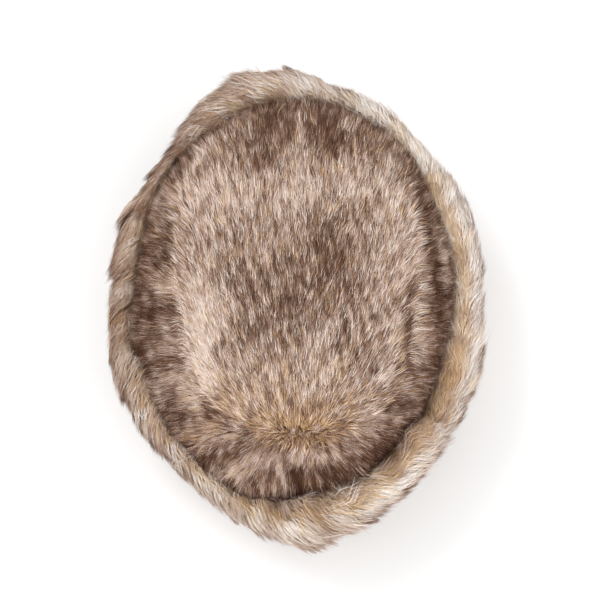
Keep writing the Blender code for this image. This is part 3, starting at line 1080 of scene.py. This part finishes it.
def crown_fur(name, mat, sheet, count, seed, length, pile, level,
              patches, gold_base, gold_patches, mottle, cell, thick, places,
              grain):
    rng = np.random.default_rng(seed)
    p = sheet.sample(count, rng)[0]
    lock, wisp = (clumps(p * grain, rng, c) for c in cell)
    each, few, own = rng.normal(size=(3, 5, count))
    each, few = each[:, lock], few[:, wisp]
    # the band's right side has short hair, in small patches
    right = np.clip(dome.share(p[:, :2]) * 8.0 - 8.2, 0.0, 1.0) * near(
        np.degrees(np.arctan2(p[:, 1], p[:, 0])), 8.0, 34.0)
    size = length * (1 + 0.10 * each[0] + 0.08 * few[0] + 0.14 * own[0])
    size *= 1.0 - 0.25 * right
    over = np.clip(dome.share(p[:, :2]) * 8.0 - 8.4, 0.0, 1.0) * near(
        np.degrees(np.arctan2(p[:, 1], p[:, 0])), 98.0, 32.0)
    size *= 1.0 + 0.80 * over
    tall = pile * (1 + 0.07 * each[1] + 0.06 * few[1] + 0.13 * own[1]
                   + 0.22 * over)
    turn = 6.0 * each[2] + 6.0 * few[2] + 7.0 * own[2]
    stray = 2.5 * np.stack([few[4] + 0.5 * own[4], few[3] + 0.5 * own[3]], -1)
    # round the parting the hair is less orderly
    stray *= 1.0 + 0.8 * np.exp(-(parting(p[:, :2])[1] / 9.0) ** 2)[:, None]
    path, out = comb(dome, p[:, :2], crown_field, size, tall, turn, stray,
                     places)
    path = gather(path, lock, places, 0.14)
    path = gather(path, wisp, places, 0.28)
    seen = path[:, 0] * 0.3 + path[:, -1] * 0.7
    tone = level(seen[:, :2]) + 1.35 * charted(seen, patches) + mottle * (
        1.1 * waves(seen[:, 0] * 3.2, seen[:, 1], seed, 17.0)
        + 0.6 * waves(seen[:, 0], seen[:, 1], seed + 50, 42.0)
        + 0.8 * each[3] + 1.1 * few[3] + 1.4 * own[3])
    chance = gold_base + charted(seen, gold_patches)
    tone = settle(tone)
    gold = rng.random(count) < (chance + 0.16 * each[0]) * np.clip(
        tone / 0.4, 0.2, 1.0)
    return ribbons(name, mat, path, out, tone, gold,
                   thick * (0.85 + 0.3 * rng.random(count)), places, rng)


def top_level(xy):
    return np.full(len(xy), 0.56)


# the band's fur darker down towards the valley: partly its own tone, partly painted shade
# of the recess between crown and cuff
def band_level(xy):
    share = dome.share(xy)
    return 0.46 - 0.26 * np.clip((share - 1.0) / 0.14, 0.0, 1.0)


crown_fur("crown_top_fur", crown_fur_mat, top_sheet, 93000, 11,
          11.5, 8.6, top_level, CROWN_TONE_AND_SHADE_PATCHES, 0.10, CROWN_GOLD, 0.20,
          (30, 3.6), 0.31, (0.0, 0.6, 1.0), (1.0, 0.55, 1.0))
crown_fur("crown_band_fur", band_fur_mat, band_sheet, 180000, 12,
          7.4, 8.4, band_level, BAND_TONE_AND_SHADE_PATCHES, 0.08, BAND_GOLD, 0.23,
          (40, 6), 0.58, (0.0, 1.0), (1.0, 0.8, 1.0))


def cuff_field(deg, s):
    """Turn of the cuff's strands from straight down its section."""
    outer = np.clip((s - 0.20) / 0.25, 0.0, 1.0)
    return column(deg, "turn") * (1.12 - 0.28 * outer)


def across(xyz):
    """0 at the crease and 1 at the cuff's outline, as the photo shows it."""
    deg = np.degrees(np.arctan2(xyz[:, 1], xyz[:, 0]))
    c, s = np.cos(np.radians(deg)), np.sin(np.radians(deg))
    val, fur = column(deg, "val") + 1.0, column(deg, "fur") + 3.5
    cx, cy = pixel(val * c, val * s, 88.0)
    ox, oy = pixel(fur * c, fur * s, 65.0)
    px, py = pixel(xyz[:, 0], xyz[:, 1], xyz[:, 2])
    dx, dy = ox - cx, oy - cy
    return ((px - cx) * dx + (py - cy) * dy) / (dx * dx + dy * dy)


# Outline of the fur as the photo shows it, tufts and notches, measured:
# angle in the picture and pixels from CENTRE_PX.
EDGE = np.array([
    (0, 187), (6, 190), (11, 192), (16, 194), (21, 193), (27, 197), (33, 203),
    (34, 198), (41, 206), (46, 199), (50, 198), (54, 205), (58, 210), (62, 217),
    (68, 220), (74, 222), (79, 225), (84, 227), (88, 233), (92, 240), (94, 249),
    (95.5, 238), (97, 235), (99, 235), (103, 239), (106.5, 244), (108, 232),
    (110, 235), (113, 229), (115, 223), (118, 218), (124, 215), (126, 205),
    (130, 198), (137, 197), (141, 204), (144, 200), (150, 197), (157, 197),
    (161, 190), (165, 188), (168, 191), (174, 190), (178, 187), (180, 190),
    (184, 187), (188, 185), (191, 188), (194, 190), (196.5, 199), (200, 196),
    (201, 190), (205, 193), (209, 198), (211, 200), (220, 202), (226, 202),
    (235, 201), (238, 208), (240, 205), (245, 212), (248, 217), (251, 222),
    (254, 227), (257, 220), (259, 222), (262, 236), (265, 239), (268, 243),
    (270, 236), (273, 247), (277, 249), (278, 240), (280, 246), (282, 243),
    (284, 232), (286, 227), (291, 231), (294, 223), (298, 221), (302, 213),
    (305, 210), (309, 207), (315, 204), (320, 200), (327, 199), (330, 197),
    (333, 195), (337, 198), (341, 199), (344, 195), (348, 192), (351, 187),
    (355, 186)])


# Tufts that stand out of the outline, in the photo's pixels: point, direction
# in the picture (deg), length, half width, how much the strands obey.
PEAKS = [
    (277,  60, 152, 46, 11, 0.95),
    (254,  72, 154, 30,  7, 0.60),
    (227,  74, 157, 44, 11, 0.95),
    (214,  87, 165, 26,  6, 0.60),
    (202, 100, 176, 34,  9, 0.90),
    (187, 118, 190, 26,  6, 0.60),
    (172, 129, 196, 26,  7, 0.70),
    (137, 180, 205, 28,  6, 0.50),
    (110, 262, 225, 22,  5, 0.40),
    (107, 364, 250, 24,  6, 0.60),
    (187, 484, 300, 24,  6, 0.40),
    (233, 527, 310, 24,  6, 0.45),
    (262, 545, 318, 20,  5, 0.35),
    (309, 556, 325, 20,  5, 0.40),
    (328, 555, 330, 20,  5, 0.45),
    (341, 550, 335, 20,  5, 0.35),
    (378, 524, 352, 20,  5, 0.40),
    (424, 477,  20, 20,  5, 0.30),
    (468, 410,  55, 20,  5, 0.30),
    (453, 173, 118, 24,  6, 0.45),
    (466, 198, 112, 20,  5, 0.35),
    (399, 117, 135, 20,  5, 0.35),
    (322,  80, 148, 24,  5, 0.35),
]


def tuft(path, rng):
    """Lengthen and narrow the strands that end in a tuft to its point."""
    tip = path[:, -1]
    px, py = pixel(tip[:, 0], tip[:, 1], tip[:, 2])
    for qx, qy, angle, long, half, obey in PEAKS:
        hx, hy = math.cos(math.radians(angle)), -math.sin(math.radians(angle))
        dx, dy = qx - px, qy - py
        back, off = dx * hx + dy * hy, dx * hy - dy * hx
        own = (np.abs(off) < half * 1.5) & (back > -8.0) & (back < long)
        own &= tip[:, 2] > 45.0
        goal = back * (0.30 + 0.55 * rng.random(len(px)) ** 1.5)
        goal = np.where(back < 0, 0.0, goal)
        room = half * np.clip(0.12 + goal / (0.6 * long), 0.0, 1.0)
        side = off * room / (half * 1.5)
        # (off is measured to the right of the tuft's direction)
        goal = goal + 1.5 * rng.normal(size=len(px))
        side = side + 0.8 * rng.normal(size=len(px))
        nx = qx - hx * goal - hy * side
        ny = qy - hy * goal + hx * side
        x, y = plan(nx, ny, tip[:, 2])
        d = np.stack([x - tip[:, 0], y - tip[:, 1], np.zeros(len(x))], -1)
        d *= (own * np.minimum(1.0, obey * (0.6 + 0.6 * rng.random(
            len(px)))))[:, None]
        path[:, -1] += d
        path[:, -2] += 0.5 * d
    return path


def trim(path, rng, loose):
    """Draw tips that end near the outline to it; returns how far inside."""
    tip, mid = path[:, -1], path[:, -2]
    px, py = pixel(tip[:, 0], tip[:, 1], tip[:, 2])
    mx, my = pixel(mid[:, 0], mid[:, 1], mid[:, 2])
    rx, ry = px - CENTRE_PX[0], py - CENTRE_PX[1]
    r = np.hypot(rx, ry)
    rx, ry = rx / r, ry / r
    hx, hy = px - mx, py - my
    h = np.hypot(hx, hy) + 1e-6
    hx, hy = hx / h, hy / h
    slope = np.maximum(hx * rx + hy * ry, 0.35)
    wanted = loose + np.interp(np.degrees(np.arctan2(-ry, rx)) % 360.0,
                               EDGE[:, 0], EDGE[:, 1], period=360.0)
    inside = wanted - r
    high = np.clip((tip[:, 2] - 35.0) / 20.0, 0.0, 1.0)
    out = inside * 0.8 * np.clip(1.2 - inside / 13.0, 0.0, 1.0) * high
    share = rng.random(len(r))
    move = np.where(inside > 0, out * (0.4 + 0.6 * share),
                    inside * (0.8 + 0.5 * share))
    qx = px + move * (0.6 * rx + 0.4 * hx / slope)
    qy = py + move * (0.6 * ry + 0.4 * hy / slope)
    x, y = plan(qx, qy, tip[:, 2])
    d = np.stack([x - tip[:, 0], y - tip[:, 1], np.zeros(len(x))], -1)
    path[:, -1] += d
    path[:, -2] += 0.5 * d
    return inside - move


def cuff_fur(name, mat, count, seed, start, stop, thick=0.30, length=17.0,
             pile=9.0, flare=0.45, ragged=0.0, places=(0.0, 0.6, 1.0)):
    rng = np.random.default_rng(seed)
    m = cuff_sheet.p.shape[1]
    j = np.linspace(0, 1, m)[:-1]
    weight = ((j >= start) & (j < stop)).astype(float)[None]
    p, _, _, _, deg, s = cuff_sheet.sample(count, rng, weight)
    lock, wisp = clumps(p, rng, 110), clumps(p, rng, 7)
    each, few, own = rng.normal(size=(3, 4, count))
    each, few = each[:, lock], few[:, wisp]
    wild = ragged * (1.0 - 0.8 * near(deg, 5.0, 50.0))
    size = length * (1 + (0.08 + 0.12 * wild) * each[0] + 0.08 * few[0]
                     + 0.12 * own[0] + 0.25 * near(deg, 108.0, 32.0))
    tall = pile * column(deg, "pile") * (
        1 + (0.08 + 0.14 * wild) * each[1] + 0.07 * few[1] + 0.09 * own[1])
    turn = (8.0 * each[2] + 6.0 * few[2] + 7.0 * own[2]
            + 7.0 * waves(p[:, 0], p[:, 1], 31, 30.0))
    for place, half, more, swing, up in TUFTS:
        w = near(deg, place, half)
        size *= 1.0 + more * w
        tall *= 1.0 + up * w
        turn += swing * w
    path, out = wrap(cuff_sheet, deg * RINGS / 360.0, s * (m - 1), cuff_field,
                     size, tall, turn, places, flare)
    upper = near(deg, 100.0, 34.0)
    path = gather(path, lock, places, 0.15 + 0.15 * wild)
    path = gather(path, wisp, places, 0.18 + 0.16 * upper)
    if ragged:
        inside = trim(path, rng, 3.4 * each[0] + 2.8 * few[0] + 1.6 * own[0]
                      - 0.8)
        path = tuft(path, rng)
    path[..., 2] = np.maximum(path[..., 2], 0.6)
    seen = path[:, 1] * 0.5 + path[:, 2] * 0.5
    crest = np.clip((out[:, 2, 2] + 0.1) / 0.6, 0.0, 1.0)
    w = np.clip(across(seen), -0.3, 1.2)
    base = column(deg, "tone")
    pale = np.clip((base - 0.25) / 0.4, 0.0, 1.0)
    tone = base + charted(seen, CUFF_PATCHES) * crest + (
        0.12 * waves(seen[:, 0] + seen[:, 2], seen[:, 1] - 0.7 * seen[:, 2],
                     34, 22.0)
        + (0.10 + 0.09 * upper) * each[3]
        + (0.05 + 0.09 * upper + 0.06 * (1.0 - pale)) * few[3]
        + 0.08 * own[3])
    # brown beside the crease (partly brown fur, partly painted shade of the crease,
    # strongest at the lower right and the upper left), then golden, then pale towards the
    # outline
    brown = (0.14 + 0.24 * near(deg, 302.0, 14.0) + 0.26 * near(deg, 112.0, 24.0)
             - 0.12 * near(deg, 0.0, 42.0) - 0.14 * near(deg, 184.0, 42.0))
    tone -= (brown - 0.16 * few[1] - 0.08 * own[1]) * np.exp(
        -(np.maximum(w, 0.0) / 0.14) ** 2)
    low = near(deg, 278.0, 26.0)
    tone += crest * ((0.46 + 0.16 * low) * pale * np.exp(
        -((w - 0.84 + 0.06 * low) / (0.19 + 0.05 * low)) ** 2)
                     - 0.14 * (1 - pale) * np.clip((w - 0.7) / 0.3, 0, 1))
    chance = 0.03 + (0.24 + 0.28 * pale + 0.12 * near(deg, 355.0, 50.0)) * (
        1.0 - 0.35 * upper) * np.exp(
        -((w - 0.18 - 0.17 * pale) / 0.20) ** 2) + charted(seen, CUFF_GOLD)
    gold = rng.random(count) < chance + 0.12 * each[0]
    # among golden strands the others are no whiter than beige
    tone -= np.where(gold, 0.04, 0.26 * np.clip(chance, 0.0, 0.8)) * crest
    tone += 0.14 * low * np.clip((w - 0.55) / 0.2, 0.0, 1.0) * crest
    upto = np.ones(count)
    if ragged:
        # brown tips only at the outline, where the fur is pale
        deep = np.clip((inside - 2.0 + 2.5 * each[1]) / 7.0, 0.0, 1.0)
        upto -= 0.32 * deep * (0.6 + 0.4 * crest) * (0.3 + 0.7 * pale)
    return ribbons(name, mat, path, out, settle(tone), gold,
                   thick + 0.10 * rng.random(count), places, rng,
                   upto)


# shares of the cuff's section: valley and crest, outer edge, outer side
cuff_fur("cuff_crest_fur", cuff_fur_mat, 94000, 41, 0.05, 0.24, flare=0.2)
cuff_fur("cuff_edge_fur", cuff_edge_mat, 94000, 42, 0.24, 0.42, ragged=1.0)
cuff_fur("cuff_side_fur", cuff_edge_mat, 82000, 43, 0.42, 1.01, thick=0.46,
         length=19.0, ragged=0.6)

# ------------------------------------------------------------ stage, lights


def stage():
    me = bpy.data.meshes.new("floor")
    me.from_pydata([(-4, -4, 0), (4, -4, 0), (4, 4, 0), (-4, 4, 0)], [],
                   [(0, 1, 2, 3)])
    ob = bpy.data.objects.new("floor", me)
    bpy.context.scene.collection.objects.link(ob)
    mat = bpy.data.materials.new("floor_pale")
    mat.use_nodes = True
    shader = mat.node_tree.nodes["Principled BSDF"]
    shader.inputs["Base Color"].default_value = (0.92, 0.92, 0.92, 1.0)
    shader.inputs["Roughness"].default_value = 0.9
    shader.inputs["Specular IOR Level"].default_value = 0.1
    me.materials.append(mat)


def light(name, place, aim, size, power, colour=(1, 1, 1)):
    data = bpy.data.lights.new(name, "AREA")
    data.shape = "DISK"
    data.size = size
    data.energy = power
    data.color = colour
    ob = bpy.data.objects.new(name, data)
    ob.location = place
    ob.rotation_euler = (Vector(aim) - Vector(place)).to_track_quat(
        "-Z", "Y").to_euler()
    bpy.context.scene.collection.objects.link(ob)


stage()
scene = bpy.context.scene
scene.view_settings.view_transform = "Standard"
world = bpy.data.worlds.new("studio")
world.use_nodes = True
world.node_tree.nodes["Background"].inputs["Color"].default_value = (1, 1, 1, 1)
world.node_tree.nodes["Background"].inputs["Strength"].default_value = 1.0
scene.world = world
light("key", (-0.8, 0.5, 1.9), (0, 0, 0.08), 0.9, 14.0)
light("fill", (1.3, -0.9, 1.5), (0, 0, 0.06), 1.4, 10.0)
light("front", (0.0, -2.0, 0.9), (0, 0, 0.06), 1.4, 8.0)

cam_data = bpy.data.cameras.new("camera")
cam_data.sensor_width = 36.0
cam_data.lens = 36.0 * DISTANCE / (600.0 * PIXEL)
cam_data.clip_start, cam_data.clip_end = 0.05, 20.0
cam = bpy.data.objects.new("camera", cam_data)
right = Vector((1, 0, 0))
up = Vector((0, SIN_E, COS_E))
back = Vector((0, -COS_E, SIN_E))
aim = Vector((SHIFT[0] * MM, SHIFT[1] * MM, TARGET_Z * MM))
aim += right * ((300.0 - CENTRE_PX[0]) * PIXEL * MM)
aim -= up * ((300.0 - CENTRE_PX[1]) * PIXEL * MM)
cam.matrix_world = (Matrix.Translation(aim + back * DISTANCE * MM)
                    @ Matrix((right, up, back)).transposed().to_4x4())
scene.collection.objects.link(cam)
scene.camera = cam
